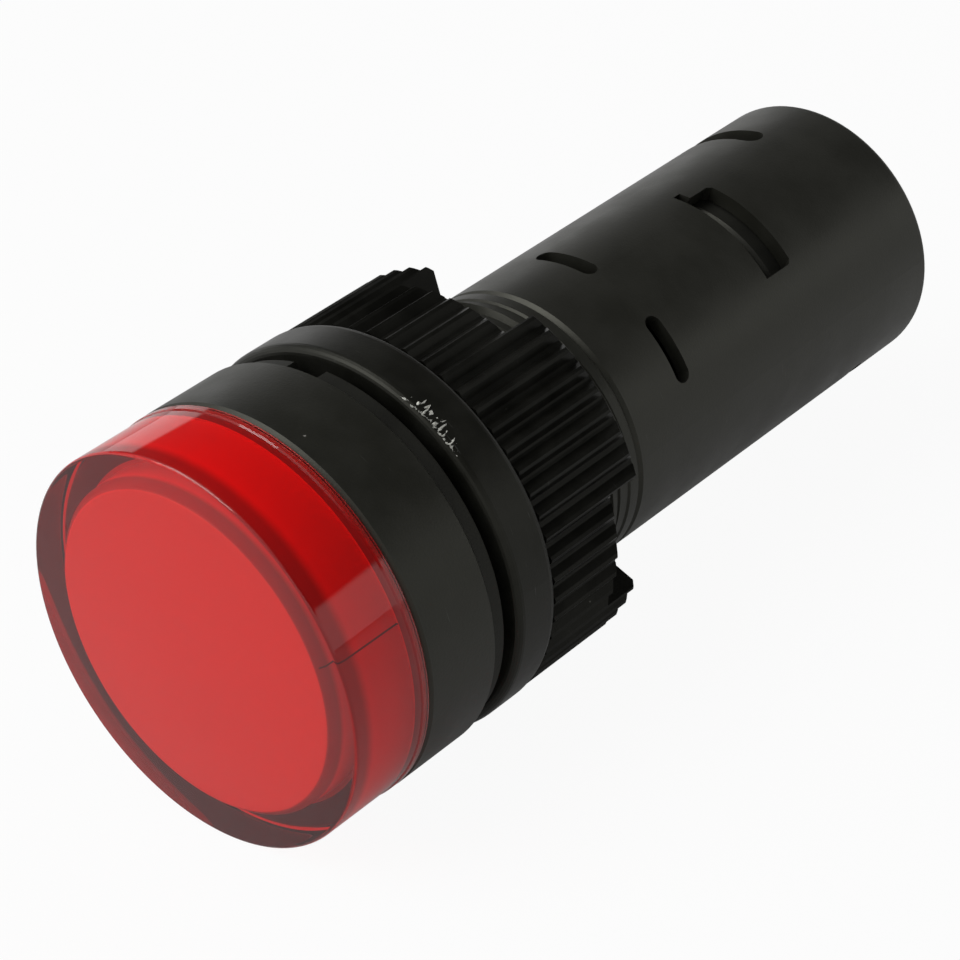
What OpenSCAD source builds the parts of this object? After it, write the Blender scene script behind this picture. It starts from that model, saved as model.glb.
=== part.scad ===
// Panel pilot light for a 22 mm hole: a red lens on a black head, a threaded
// stem that passes through the panel, a ribbed nut behind it, and a long rear
// cover over the driver and the two screw terminals.
// The axis runs along Y. The panel's front face is the plane y = 0, the lens
// looks towards -Y, and the notch in the gasket marks the top, +Z.

/* [Head and lens] */
// Diameter of the black head
head_d = 29; // [27:0.5:36]
// Length of the head from its front edge to its rear face
head_len = 6.6; // [5.4:0.1:9]
// How far the lens's side sits inside the head's
lens_inset = 0.1; // [0.05:0.05:0.5]
// How far the lens stands out of the head
lens_out = 6.7; // [4:0.1:10]
// Thickness of the lens's side wall
lens_wall = 2.3; // [1.6:0.1:2.6]
// Thickness of the lens's face
lens_face = 0.8; // [0.6:0.1:2.4]
// Radius of the lens's front edge
lens_round = 0.3; // [0.2:0.1:1]
// Gap between the lens's face and the diffuser
diffuser_gap = 0.1; // [0.05:0.05:1]
// Wall of the diffuser cup
diffuser_wall = 0.9; // [0.7:0.1:1.2]

/* [Stem and gasket] */
// Crest diameter of the thread on the stem
thread_d = 21.7; // [20.5:0.1:23]
// Length of thread left behind the nut
thread_left = 2; // [1:0.5:10]
// Lead of the thread
thread_pitch = 1.5; // [1:0.5:2]
// Bore of the stem
stem_bore_d = 16.4; // [15:0.2:16.8]
// Thickness of the flange between head and stem
flange_t = 2; // [1.5:0.1:2.4]
// Width of the keyway along the stem
keyway_w = 2.4; // [1.8:0.2:3.2]
// Depth of the keyway
keyway_depth = 0.9; // [0.6:0.1:1]
// Thickness of the rubber gasket
gasket_t = 1.3; // [0.8:0.1:2]
// Outer diameter of the gasket
gasket_d = 28; // [25:0.5:28.4]

/* [Clamp ring and nut] */
// Outer diameter of the clamp ring
ring_d = 29; // [26:0.2:32]
// Thickness of the clamp ring
ring_t = 3.8; // [2:0.2:5]
// Rest gap between the gasket and the clamp ring
panel_gap = 0.8; // [0.8:0.1:3]
// Diameter over the nut's ribs
nut_d = 28.8; // [26:0.1:32]
// Length of the nut at its four long lobes
nut_len = 9.7; // [8:0.1:12]
// Depth of the four wrench gaps in the nut's rear edge
nut_gap = 2.8; // [1.5:0.1:4]
// Number of ribs round the nut
rib_count = 56; // [40:4:64]
// Number of rib pitches on each long lobe
lobe_ribs = 8; // [5:1:9]
// Depth of the ribs
rib_depth = 0.6; // [0.3:0.05:0.9]
// Angle at which the nut stopped turning
nut_clock = 35.7; // [0:0.1:90]

/* [Rear cover] */
// Outer diameter of the rear cover
cover_d = 20.8; // [20.3:0.1:21.4]
// Length of the rear cover
cover_len = 34.5; // [32:0.5:48]
// Wall of the rear cover
cover_wall = 1.2; // [0.9:0.1:1.3]
// Width of the vent slots round the cover
vent_w = 1.35; // [0.8:0.05:2]
// Angle that each vent slot spans
vent_span = 29; // [16:1:40]
// Width of the two side windows
window_w = 2.9; // [2:0.1:4]
// Angle that each side window spans
window_span = 52.5; // [30:0.5:60]
// Width of the latch slots near the rear end
latch_w = 1.7; // [1.2:0.1:2.4]

/* [Terminals] */
// Distance between the two terminal screws
terminal_pitch = 9; // [8:0.2:9.4]
// Thread diameter of the terminal screws
screw_d = 2.9; // [2.4:0.1:3]
// Lead of the terminal screws
screw_pitch = 0.5; // [0.4:0.05:0.6]
// Side of the square clamp washers
washer_w = 6; // [5:0.1:6]
// Thickness of the terminal plates
plate_t = 1; // [0.8:0.1:1.4]

/* [Driver] */
// Thickness of both circuit boards
board_t = 1.2; // [0.8:0.1:1.6]
// Length of the driver board
driver_len = 33; // [31:0.5:36]
// Height of the dropper capacitor
cap_h = 7.6; // [5:0.1:7.8]

/* [Hidden] */
$fn = 96;
eps = 0.01;
overrun = 1;          // how far a cut runs past the face it opens

// Clearances
fit = 0.1;            // radial gap between pieces that push together
thread_play = 0.08;   // radial gap between the stem's thread and what turns or slides on it
screw_play = 0.05;    // radial gap between a terminal screw and its threaded plate

// Places along the axis, front to rear
head_y = -gasket_t - head_len;             // front edge of the head
lens_y = head_y - lens_out;                // face of the lens
flange_y = -gasket_t - flange_t;           // front of the flange inside the head
ring_y = panel_gap;                        // front of the clamp ring
nut_y = ring_y + ring_t;                   // front of the nut
nut_end = nut_y + nut_len;                 // rear of the long lobes
thread_end = nut_end + thread_left;        // where the thread runs out
relief_len = 0.6 * thread_pitch;           // undercut behind the thread
band_len = 1.3;                            // plain band in front of the cover
cover_y = thread_end + relief_len + band_len;
cover_end = cover_y + cover_len;

// Radii
head_r = head_d / 2;
lens_r = head_r - lens_inset;
pocket_r = head_r - 1.1;                   // pocket in the head that takes the lens's skirt
skirt_r = pocket_r - fit;
cup_r = lens_r - lens_wall;                // inside of the lens
thread_r = thread_d / 2;
stem_bore_r = stem_bore_d / 2;
turning_r = thread_r + thread_play;        // bores of the ring and the nut
cover_r = cover_d / 2;
cover_bore_r = cover_r - cover_wall;
spigot_r = cover_bore_r - fit;
relief_r = thread_r - 0.37 * thread_pitch;  // below the root of the thread
ring_r = ring_d / 2;
nut_r = nut_d / 2;

// Front end, inside the lens
seal_t = 1;
skirt_end = flange_y - seal_t;
diffuser_r = cup_r - fit;
diffuser_y = lens_y + lens_face + diffuser_gap;
led_board_r = diffuser_r - diffuser_wall - fit;
led_board_y = flange_y - board_t;
led_d = 3;
led_ring_r = led_board_r * 0.56;
led_count = 6;

// Driver board and what it carries
driver_y = -0.5;
driver_top = -2.4;
driver_bottom = driver_top - board_t;
driver_half_w = sqrt(pow(stem_bore_r, 2) - pow(driver_bottom, 2)) - 0.2;
rail_in = driver_half_w - 1;
rail_t = 0.9;
rail_play = 0.12;
cap_w = 8.4;
cap_len = 13;
cap_y = driver_y + 3.5;
electrolytic_d = 7.6;
electrolytic_len = 11;
electrolytic_y = cap_y + cap_len + 1.4;
resistor_d = 2.3;
resistor_len = 6.4;
resistor_step = (driver_half_w - 0.75) / 2;
pin_w = 0.64;
pin_step = 2.54;

// Nut
rib_pitch = 360 / rib_count;
lobe_span = lobe_ribs * rib_pitch + 1.2;

// Cover openings, measured from the cover's front edge and its rear rim
vent_y = cover_y + 6.2;
vent_clocks = [31.8, 88.4];                 // and the same again on the far side
window_y = cover_end - 15.5;
window_clock = 58.8;
latch_y = cover_end - 6;
latch_clock = 113;
cover_round = 0.4;
wire_notch_w = 4.2;
wire_notch_len = 3.6;

// Terminal block
block_r = cover_bore_r - fit;
block_y = cover_end - 11.6;                // front of the solid part of the block
block_face = cover_end - 6.1;              // rear face, on which the plates lie
skirt_len = 3.8;
block_skirt_y = block_y - skirt_len;
barrier_half = terminal_pitch / 2 - washer_w / 2 - 0.2;
barrier_end = cover_end - 0.8;
terminal_x = terminal_pitch / 2;
terminal_z = 1;
plate_w = washer_w;
plate_h = washer_w + 0.4;
tail_w = 2.4;
tail_t = 0.8;
tail_z = terminal_z - plate_h / 2;
tail_len = 8.6;
washer_y = block_face + plate_t;
washer_t = 0.8;
screw_r = screw_d / 2;
screw_y = washer_y + washer_t;             // underside of the screw's head
screw_len = 6.6;
screw_head_r = screw_r + 1.25;
screw_head_h = 1.9;
wire_d = 1.3;

// ---------------------------------------------------------------- helpers

// Turns a profile of [radius, y] points about the axis.
module turned(points) {
    rotate([-90, 0, 0]) rotate_extrude() polygon(points);
}

// A plain ring between two radii and two places along the axis.
module collar(r_in, r_out, y0, y1) {
    turned([[r_in, y0], [r_out, y0], [r_out, y1], [r_in, y1]]);
}

// A round bar along the axis.
module bar(r, y0, y1, x = 0, z = 0) {
    translate([x, y0, z]) rotate([-90, 0, 0]) cylinder(r = r, h = y1 - y0);
}

// Places what is drawn along +X at an angle counted from +X towards +Z.
module at(clock) {
    rotate([0, -clock, 0]) children();
}

// Turns a profile of [radius, y] points through part of a turn, centred on an angle.
module swept(points, clock, span) {
    at(clock + span / 2) rotate([-90, 0, 0]) rotate_extrude(angle = span) polygon(points);
}

// Cuts an outline straight through the cover's wall at an angle and a place along
// the axis, the way the mould's side core pulls. The outline's y runs along the axis.
module side_cut(clock, y) {
    depth = cover_r - cover_bore_r * cos(window_span / 2) + 2 * overrun;
    at(clock) translate([cover_r + overrun - depth, y, 0]) rotate([0, 90, 0])
        linear_extrude(depth) children();
}

// Half the chord that an angle spans on the outside of the cover.
function half_chord(span) = cover_r * sin(span / 2);

// Outline of a slot with half-round ends.
module obround(half_len, w) {
    centre = half_len - w / 2;
    square([2 * centre, w], center = true);
    for (side = [-1, 1]) translate([side * centre, 0]) circle(d = w);
}

// Points of a quarter round from one angle to another.
function arc(centre, r, a0, a1, steps = 5) =
    [for (i = [0 : steps]) let (a = a0 + (a1 - a0) * i / steps)
        centre + r * [cos(a), sin(a)]];

// ---------------------------------------------------------------- head

// Red cup with a thick clear rim; its skirt goes down into the head.
module lens() {
    bead = 0.08;
    color([0.72, 0.05, 0.04, 0.6])
        turned(concat(
            [[0, lens_y]],
            arc([lens_r - lens_round, lens_y + lens_round], lens_round, -90, 0),
            [[lens_r, head_y - 0.65], [lens_r + bead, head_y - 0.5], [lens_r + bead, head_y - fit],
             [skirt_r, head_y - fit], [skirt_r, skirt_end - 0.4], [skirt_r - 0.4, skirt_end],
             [cup_r, skirt_end], [cup_r, lens_y + lens_face], [0, lens_y + lens_face]]));
}

// Flat rubber ring under the lens's skirt.
module lens_seal() {
    color([0.08, 0.08, 0.08]) collar(cup_r + fit, skirt_r, skirt_end, flange_y);
}

// Milky cup behind the lens, standing on the flange round the lamp board.
module diffuser() {
    round_r = 0.3;
    color([0.81, 0.25, 0.22])
        turned(concat(
            [[0, diffuser_y]],
            arc([diffuser_r - round_r, diffuser_y + round_r], round_r, -90, 0),
            [[diffuser_r, flange_y], [diffuser_r - diffuser_wall, flange_y],
             [diffuser_r - diffuser_wall, diffuser_y + diffuser_wall],
             [0, diffuser_y + diffuser_wall]]));
}

// Guide rails for the driver board, on both sides of the stem's bore.
module board_rails() {
    rail_out = stem_bore_r + 0.3;
    intersection() {
        bar(rail_out, driver_y, thread_end);
        for (side = [-1, 1], z = [driver_bottom - rail_play - rail_t, driver_top + rail_play])
            translate([side > 0 ? rail_in : -rail_out, driver_y, z])
                cube([rail_out - rail_in, thread_end - driver_y, rail_t]);
    }
}

// One moulding: head, flange, threaded stem and the spigot that carries the cover.
module housing() {
    edge = 0.35;
    band_r = cover_r;
    spigot_end = cover_y + 4.4;
    color([0.13, 0.13, 0.11]) difference() {
        union() {
            turned([[stem_bore_r, flange_y], [pocket_r, flange_y], [pocket_r, head_y],
                [head_r - edge, head_y], [head_r, head_y + edge], [head_r, -gasket_t - edge],
                [head_r - edge, -gasket_t], [thread_r, -gasket_t], [thread_r, thread_end - edge],
                [relief_r, thread_end], [relief_r, thread_end + relief_len],
                [band_r - 0.2, thread_end + relief_len], [band_r, thread_end + relief_len + 0.2],
                [band_r, cover_y - 0.25], [band_r - 0.25, cover_y], [spigot_r, cover_y],
                [spigot_r, spigot_end - 0.5], [spigot_r - 0.3, spigot_end],
                [stem_bore_r, spigot_end]]);
            board_rails();
        }
        translate([-keyway_w / 2, 0, -thread_r - overrun])
            cube([keyway_w, thread_end + relief_len, keyway_depth + overrun]);
    }
}

// Rubber washer under the head, with a notch at the top of its edge.
module panel_gasket() {
    notch_span = 12;
    notch_depth = 0.9;
    gasket_r = gasket_d / 2;
    edge = 0.2;
    color([0.16, 0.16, 0.15]) difference() {
        turned([[thread_r + fit, -gasket_t], [gasket_r, -gasket_t], [gasket_r, -edge],
            [gasket_r - edge, 0], [thread_r + fit, 0]]);
        swept([[gasket_r - notch_depth, -gasket_t - overrun], [gasket_r + overrun, -gasket_t - overrun],
            [gasket_r + overrun, overrun], [gasket_r - notch_depth, overrun]], 90, notch_span);
    }
}

// ---------------------------------------------------------------- panel clamp

// Smooth ring with a key that slides in the stem's keyway, so it can't turn.
module clamp_ring() {
    edge = 0.6;
    key_w = keyway_w - 0.3;
    key_r = thread_r - keyway_depth + 0.15;
    color([0.15, 0.15, 0.12]) union() {
        turned(concat(
            [[turning_r, ring_y]],
            arc([ring_r - edge, ring_y + edge], edge, -90, 0),
            arc([ring_r - edge, nut_y - edge], edge, 0, 90),
            [[turning_r, nut_y]]));
        translate([-key_w / 2, ring_y, -turning_r - 0.4])
            cube([key_w, ring_t, turning_r + 0.4 - key_r]);
    }
}

// Outline of the nut: ribs with narrow crests and wider valleys.
function rib_outline() = [for (i = [0 : rib_count - 1], p = [
        [-0.5, 0], [-0.38, 0.05], [-0.14, 0.8], [0, 1], [0.14, 0.8], [0.38, 0.05]])
    let (a = (i + p[0]) * rib_pitch, r = nut_r - rib_depth * (1 - p[1]))
    r * [cos(a), sin(a)]];

// Ribbed nut whose rear edge stands in four long lobes with wrench gaps between.
module mounting_nut() {
    edge = 0.5;
    gap_y = nut_end - nut_gap;
    gap_span = 90 - lobe_span;
    lead_in = 0.4;
    color([0.12, 0.12, 0.10]) difference() {
        intersection() {
            at(nut_clock + lobe_span / 2 - 0.6) translate([0, nut_end, 0]) rotate([90, 0, 0])
                linear_extrude(nut_len) polygon(rib_outline());
            turned([[0, nut_y], [nut_r + edge, nut_y], [nut_r + edge, nut_end - 2 * edge],
                [nut_r - edge, nut_end], [0, nut_end]]);
        }
        turned([[0, nut_y - overrun], [turning_r + lead_in + overrun, nut_y - overrun],
            [turning_r, nut_y + lead_in], [turning_r, nut_end + overrun], [0, nut_end + overrun]]);
        for (i = [0 : 3])
            swept([[turning_r - overrun, gap_y], [nut_r - edge, gap_y],
                [nut_r + overrun, gap_y - edge - overrun], [nut_r + overrun, nut_end + overrun],
                [turning_r - overrun, nut_end + overrun]], nut_clock + 45 + i * 90, gap_span);
    }
}

// ---------------------------------------------------------------- rear cover

// Outline of a side window, with a narrow tail at one corner.
module window_outline() {
    l = half_chord(window_span);
    h = window_w / 2;
    tail_l = 0.9;
    tail_h = 0.7;
    nick = 0.3;
    polygon([[l, -h], [l, h - nick], [l - nick, h], [tail_l - l + nick, h], [tail_l - l, h - nick],
        [tail_l - l, tail_h - h], [-l, tail_h - h], [-l, -h]]);
}

// Long sleeve with vents, side windows, latch slots and two notches for the wires.
module rear_cover() {
    front_edge = 0.3;
    r0 = cover_bore_r - overrun;
    r1 = cover_r + overrun;
    color([0.15, 0.15, 0.125]) difference() {
        turned(concat(
            [[cover_bore_r, cover_y], [cover_r - front_edge, cover_y],
             [cover_r, cover_y + front_edge]],
            arc([cover_r - cover_round, cover_end - cover_round], cover_round, 0, 90),
            [[cover_bore_r, cover_end]]));
        for (half = [0, 180]) {
            for (clock = vent_clocks) side_cut(clock + half, vent_y) obround(half_chord(vent_span), vent_w);
            side_cut(window_clock + half, window_y) window_outline();
            side_cut(latch_clock + half, latch_y) obround(half_chord(window_span), latch_w);
        }
        for (side = [-1, 1])
            at(-90 + side * 30) translate([r0, cover_end - wire_notch_len, -wire_notch_w / 2])
                cube([r1 - r0, wire_notch_len + overrun, wire_notch_w]);
    }
}

// ---------------------------------------------------------------- lamp and driver

// Round board that carries the lamps, seated on the flange.
module led_board() {
    color([0.85, 0.86, 0.82]) bar(led_board_r, led_board_y, flange_y);
}

// One lamp: a flanged body with a domed top, looking towards -Y.
module led(x, z) {
    body_h = 3.2;
    rim_h = 0.8;
    translate([x, led_board_y, z]) rotate([90, 0, 0]) {
        cylinder(d = led_d + 0.7, h = rim_h);
        cylinder(d = led_d, h = body_h);
        translate([0, 0, body_h]) difference() {
            sphere(d = led_d);
            translate([0, 0, -led_d]) cube(2 * led_d, center = true);
        }
    }
}

// Six lamps in a ring about one in the middle.
module leds() {
    color([0.9, 0.55, 0.5]) {
        led(0, 0);
        for (i = [0 : led_count - 1])
            led(led_ring_r * cos(i * 360 / led_count + 30), led_ring_r * sin(i * 360 / led_count + 30));
    }
}

// Square pins from the lamp board onto the driver board.
module header_pins() {
    pad_end = driver_y + 3;
    color("gold") for (i = [-1, 0, 1])
        translate([i * pin_step - pin_w / 2, flange_y, driver_top])
            cube([pin_w, pad_end - flange_y, pin_w]);
}

// Driver board along the middle of the stem, held by the rails.
module driver_board() {
    chamfer = 1.2;
    y1 = driver_y + driver_len;
    color([0.12, 0.33, 0.18]) translate([0, 0, driver_bottom]) linear_extrude(board_t)
        polygon([[-driver_half_w + chamfer, driver_y], [driver_half_w - chamfer, driver_y],
            [driver_half_w, driver_y + chamfer], [driver_half_w, y1], [-driver_half_w, y1],
            [-driver_half_w, driver_y + chamfer]]);
}

// Boxed film capacitor that drops the mains voltage.
module dropper_capacitor() {
    color([0.75, 0.52, 0.1])
        translate([-cap_w / 2, cap_y, driver_top]) cube([cap_w, cap_len, cap_h]);
}

// Round can with a groove near its sealed end, lying along the board.
module smoothing_capacitor() {
    r = electrolytic_d / 2;
    groove = 0.35;
    seat = 0.4;
    y = electrolytic_y;
    color([0.1, 0.12, 0.2]) union() {
        translate([0, 0, driver_top + r])
            turned([[0, y], [r - 0.3, y], [r, y + 0.3], [r, y + 1.2], [r - groove, y + 1.7],
                [r, y + 2.2], [r, y + electrolytic_len - 0.4], [r - 0.4, y + electrolytic_len],
                [0, y + electrolytic_len]]);
        translate([-1.2, y + 3, driver_top]) cube([2.4, electrolytic_len - 5, seat]);
    }
}

// Small moulded bridge on the underside of the board.
module bridge_rectifier() {
    w = 6.4;
    l = 5;
    h = 2.4;
    y = driver_y + driver_len - 12;
    color([0.1, 0.1, 0.1]) translate([-w / 2, y, driver_bottom - h]) cube([w, l, h]);
}

// Three leaded resistors on the underside: bodies with swollen ends on bent legs.
module resistors() {
    r = resistor_d / 2;
    body_z = driver_bottom - r - 0.1;
    leg_w = 0.5;
    for (x = [-1, 0, 1] * resistor_step) color([0.55, 0.7, 0.8]) {
        translate([x, cap_y + 3, body_z]) {
            turned([[0, 0], [r - 0.25, 0], [r, 0.3], [r, 1.3], [r - 0.2, 1.7],
                [r - 0.2, resistor_len - 1.7], [r, resistor_len - 1.3], [r, resistor_len - 0.3],
                [r - 0.25, resistor_len], [0, resistor_len]]);
            for (y = [-1.3, resistor_len + 1.3 - leg_w])
                translate([-leg_w / 2, y, -leg_w / 2]) cube([leg_w, leg_w, driver_bottom - body_z + leg_w / 2]);
            for (y = [-1.3, resistor_len - eps])
                translate([-leg_w / 2, y, -leg_w / 2]) cube([leg_w, 1.3 + eps, leg_w]);
        }
    }
}

// ---------------------------------------------------------------- terminals

// Two insulated wires from the board's rear edge to the tails of the plates.
module lead_wires() {
    r = wire_d / 2;
    board_end = driver_y + driver_len;
    y_pad = board_end - 2.4;
    y_tail = block_face - tail_len;
    x_pad = driver_half_w - 1.4;
    z_pad = driver_top + r;
    z_tail = tail_z + tail_t + r;
    points = [[x_pad, y_pad, z_pad], [x_pad, board_end, z_pad], [terminal_x, y_tail, z_tail],
        [terminal_x, y_tail + 1.6, z_tail]];
    for (side = [-1, 1]) color(side < 0 ? [0.6, 0.08, 0.06] : [0.08, 0.08, 0.09])
        for (i = [0 : 2]) hull() for (p = [points[i], points[i + 1]])
            translate([side * p[0], p[1], p[2]]) sphere(r = r, $fn = 12);
}

// Insulating block in the rear of the cover, with a barrier between the terminals
// and two noses that catch in the latch slots.
module terminal_block() {
    skirt_wall = 1;
    nose_span = 26;
    nose_r = cover_r - 0.35;
    nose_half = latch_w / 2 - 0.15;
    color([0.1, 0.1, 0.1]) difference() {
        union() {
            turned([[block_r - skirt_wall, block_skirt_y], [block_r - 0.25, block_skirt_y],
                [block_r, block_skirt_y + 0.25], [block_r, block_face], [0, block_face], [0, block_y],
                [block_r - skirt_wall, block_y]]);
            intersection() {
                bar(block_r, block_face - eps, barrier_end);
                translate([-barrier_half, block_face - eps, -block_r])
                    cube([2 * barrier_half, barrier_end - block_face + eps, 2 * block_r]);
            }
            for (half = [0, 180])
                swept([[block_r - 0.5, latch_y - nose_half], [nose_r, latch_y - nose_half],
                    [nose_r, latch_y], [block_r, block_face], [block_r - 0.5, block_face]],
                    latch_clock + half, nose_span);
        }
        for (side = [-1, 1]) {
            bar(screw_r + 0.45, block_y - overrun, block_face + overrun, side * terminal_x, terminal_z);
            translate([side * terminal_x - tail_w / 2 - fit, block_y - overrun, tail_z - fit])
                cube([tail_w + 2 * fit, block_face - block_y + 2 * overrun, tail_t + 2 * fit]);
        }
    }
}

// Brass plate with a tapped hole and a tail that runs forward through the block.
module terminal_plate(side) {
    x = side * terminal_x;
    color([0.78, 0.62, 0.3]) difference() {
        union() {
            intersection() {
                translate([x - plate_w / 2, block_face, tail_z]) cube([plate_w, plate_t, plate_h]);
                bar(block_r, block_face - overrun, washer_y + overrun);
            }
            translate([x - tail_w / 2, block_face - tail_len, tail_z])
                cube([tail_w, tail_len + plate_t, tail_t]);
        }
        bar(screw_r + screw_play, block_face - overrun, block_face + plate_t + overrun, x, terminal_z);
    }
}

module terminal_plate_left() { terminal_plate(-1); }
module terminal_plate_right() { terminal_plate(1); }

// Square washer that rides under the screw's head and grips the wire.
module clamp_washer(side) {
    x = side * terminal_x;
    color([0.72, 0.72, 0.7]) difference() {
        intersection() {
            translate([x - washer_w / 2, washer_y, terminal_z - washer_w / 2])
                cube([washer_w, washer_t, washer_w]);
            bar(block_r - fit, washer_y - overrun, screw_y + overrun);
        }
        bar(screw_r + 0.15, washer_y - overrun, washer_y + washer_t + overrun, x, terminal_z);
    }
}

module clamp_washer_left() { clamp_washer(-1); }
module clamp_washer_right() { clamp_washer(1); }

// Round-headed screw with a cross recess and a straight slot.
module terminal_screw(side) {
    x = side * terminal_x;
    crown = 0.5;
    recess_w = 0.9;
    recess_h = 1.1;
    tip = 0.8 * screw_pitch;
    color([0.75, 0.75, 0.73]) difference() {
        translate([x, 0, terminal_z])
            turned(concat(
                [[0, screw_y - screw_len], [screw_r - tip, screw_y - screw_len],
                 [screw_r, screw_y - screw_len + tip], [screw_r, screw_y]],
                [[screw_head_r, screw_y]],
                arc([screw_head_r - crown, screw_y + screw_head_h - crown], crown, 0, 90),
                [[0, screw_y + screw_head_h]]));
        for (turn = [0, 90])
            translate([x, screw_y + screw_head_h, terminal_z]) rotate([0, turn + 20, 0])
                cube([2 * screw_head_r * (turn == 0 ? 1.2 : 0.62), 2 * recess_h, recess_w], center = true);
    }
}

module terminal_screw_left() { terminal_screw(-1); }
module terminal_screw_right() { terminal_screw(1); }

lens();
lens_seal();
diffuser();
housing();
panel_gasket();
clamp_ring();
mounting_nut();
rear_cover();
led_board();
leds();
header_pins();
driver_board();
dropper_capacitor();
smoothing_capacitor();
bridge_rectifier();
resistors();
lead_wires();
terminal_block();
terminal_plate_left();
terminal_plate_right();
clamp_washer_left();
clamp_washer_right();
terminal_screw_left();
terminal_screw_right();
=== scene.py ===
"""Looks of a red panel pilot light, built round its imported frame.

Lengths are in metres. The light's axis runs along +Y, the lens looks towards -Y and
the notch in the gasket marks the top, +Z.
"""

from __future__ import annotations

import logging
import math
from dataclasses import dataclass, field
from enum import Enum
from typing import Callable, Iterable, Sequence

import bmesh
import bpy
from mathutils import Matrix, Vector, noise

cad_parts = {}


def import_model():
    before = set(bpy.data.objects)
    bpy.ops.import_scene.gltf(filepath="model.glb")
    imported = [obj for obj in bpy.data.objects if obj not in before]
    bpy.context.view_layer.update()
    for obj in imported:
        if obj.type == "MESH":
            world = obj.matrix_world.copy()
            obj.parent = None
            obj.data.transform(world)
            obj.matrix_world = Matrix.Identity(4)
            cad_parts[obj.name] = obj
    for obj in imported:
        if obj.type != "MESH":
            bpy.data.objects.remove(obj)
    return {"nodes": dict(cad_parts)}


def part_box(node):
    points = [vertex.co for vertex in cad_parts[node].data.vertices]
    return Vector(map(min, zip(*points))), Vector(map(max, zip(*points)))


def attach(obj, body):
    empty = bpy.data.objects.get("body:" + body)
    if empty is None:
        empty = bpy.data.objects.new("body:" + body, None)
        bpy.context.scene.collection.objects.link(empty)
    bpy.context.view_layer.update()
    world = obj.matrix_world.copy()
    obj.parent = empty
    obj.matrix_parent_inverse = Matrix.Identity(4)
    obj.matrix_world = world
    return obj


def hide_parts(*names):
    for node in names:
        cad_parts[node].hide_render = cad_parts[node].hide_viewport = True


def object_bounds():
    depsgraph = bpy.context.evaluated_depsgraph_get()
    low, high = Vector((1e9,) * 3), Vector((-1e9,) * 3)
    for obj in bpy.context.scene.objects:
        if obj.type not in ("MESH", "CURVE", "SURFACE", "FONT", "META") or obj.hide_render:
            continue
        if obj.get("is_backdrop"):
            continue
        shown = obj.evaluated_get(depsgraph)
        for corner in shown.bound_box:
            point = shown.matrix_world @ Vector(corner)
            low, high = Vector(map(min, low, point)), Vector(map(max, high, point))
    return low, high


LOG = logging.getLogger("pilot_light")
MM = 0.001
TURN = 2 * math.pi
Colour = tuple[float, float, float]


class Body(Enum):
    """The moving bodies of the light."""

    LAMP = "lamp_body"
    RING = "ring"
    NUT = "nut"


# ---------------------------------------------------------------- nodes


class Sheet:
    """Adds and wires the nodes of one material or group."""

    def __init__(self, tree: bpy.types.NodeTree) -> None:
        """Keeps the tree to work on.

        Args:
            tree: The node tree of a material or of a group.
        """
        self.tree = tree

    def add(self, kind: str, **settings: object) -> bpy.types.Node:
        """Adds a node.

        Args:
            kind: The node's type name, without the ShaderNode prefix.
            **settings: Properties of the node to set.

        Returns:
            The new node.
        """
        node = self.tree.nodes.new(kind if kind.startswith("Node") else "ShaderNode" + kind)
        for name, value in settings.items():
            setattr(node, name, value)
        return node

    def feed(self, socket: bpy.types.NodeSocket, value: object) -> None:
        """Links a socket, or sets its plain value.

        Args:
            socket: The input to feed.
            value: An output socket to link, or a number, colour or vector.
        """
        if isinstance(value, bpy.types.NodeSocket):
            self.tree.links.new(value, socket)
        elif isinstance(value, tuple) and socket.type == "RGBA" and len(value) == 3:
            socket.default_value = (*value, 1.0)
        else:
            socket.default_value = value

    def math(self, operation: str, *values: object, clamp: bool = False) -> bpy.types.NodeSocket:
        """Adds a Math node.

        Args:
            operation: The operation's name.
            *values: Its inputs, as sockets or numbers.
            clamp: Whether to clamp the result to the range 0 to 1.

        Returns:
            The result's socket.
        """
        node = self.add("Math", operation=operation, use_clamp=clamp)
        for socket, value in zip(node.inputs, values):
            self.feed(socket, value)
        return node.outputs[0]

    def ramp(self, value: bpy.types.NodeSocket, low: float, high: float,
             to_low: float = 0.0, to_high: float = 1.0) -> bpy.types.NodeSocket:
        """Maps a value smoothly from one range to another.

        Args:
            value: The value to map.
            low: The value that gives to_low.
            high: The value that gives to_high.
            to_low: Result at low.
            to_high: Result at high.

        Returns:
            The result's socket.
        """
        node = self.add("MapRange", interpolation_type="SMOOTHSTEP")
        for socket, given in zip(node.inputs, (value, low, high, to_low, to_high)):
            self.feed(socket, given)
        return node.outputs[0]

    def noise(self, vector: bpy.types.NodeSocket, scale: object, detail: float = 2.0,
              roughness: float = 0.5) -> bpy.types.NodeSocket:
        """Adds a noise texture.

        Args:
            vector: Where it is sampled.
            scale: Its scale, as a number or a socket.
            detail: Number of octaves.
            roughness: How much the finer octaves count.

        Returns:
            The noise value's socket.
        """
        node = self.add("TexNoise")
        self.feed(node.inputs["Vector"], vector)
        self.feed(node.inputs["Scale"], scale)
        self.feed(node.inputs["Detail"], detail)
        self.feed(node.inputs["Roughness"], roughness)
        return node.outputs["Fac"]

    def blend(self, share: object, first: object, second: object) -> bpy.types.NodeSocket:
        """Mixes two colours.

        Args:
            share: How much of the second shows.
            first: First colour.
            second: Second colour.

        Returns:
            The mixed colour's socket.
        """
        node = self.add("Mix", data_type="RGBA")
        self.feed(node.inputs["Factor"], share)
        self.feed(node.inputs[6], first)
        self.feed(node.inputs[7], second)
        return node.outputs[2]


class Effect(Enum):
    """Effects that several materials share, each one node group."""

    MOULDED = "moulded_surface"
    DUST = "dust_specks"
    SCUFF = "fine_scuffs"


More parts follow.
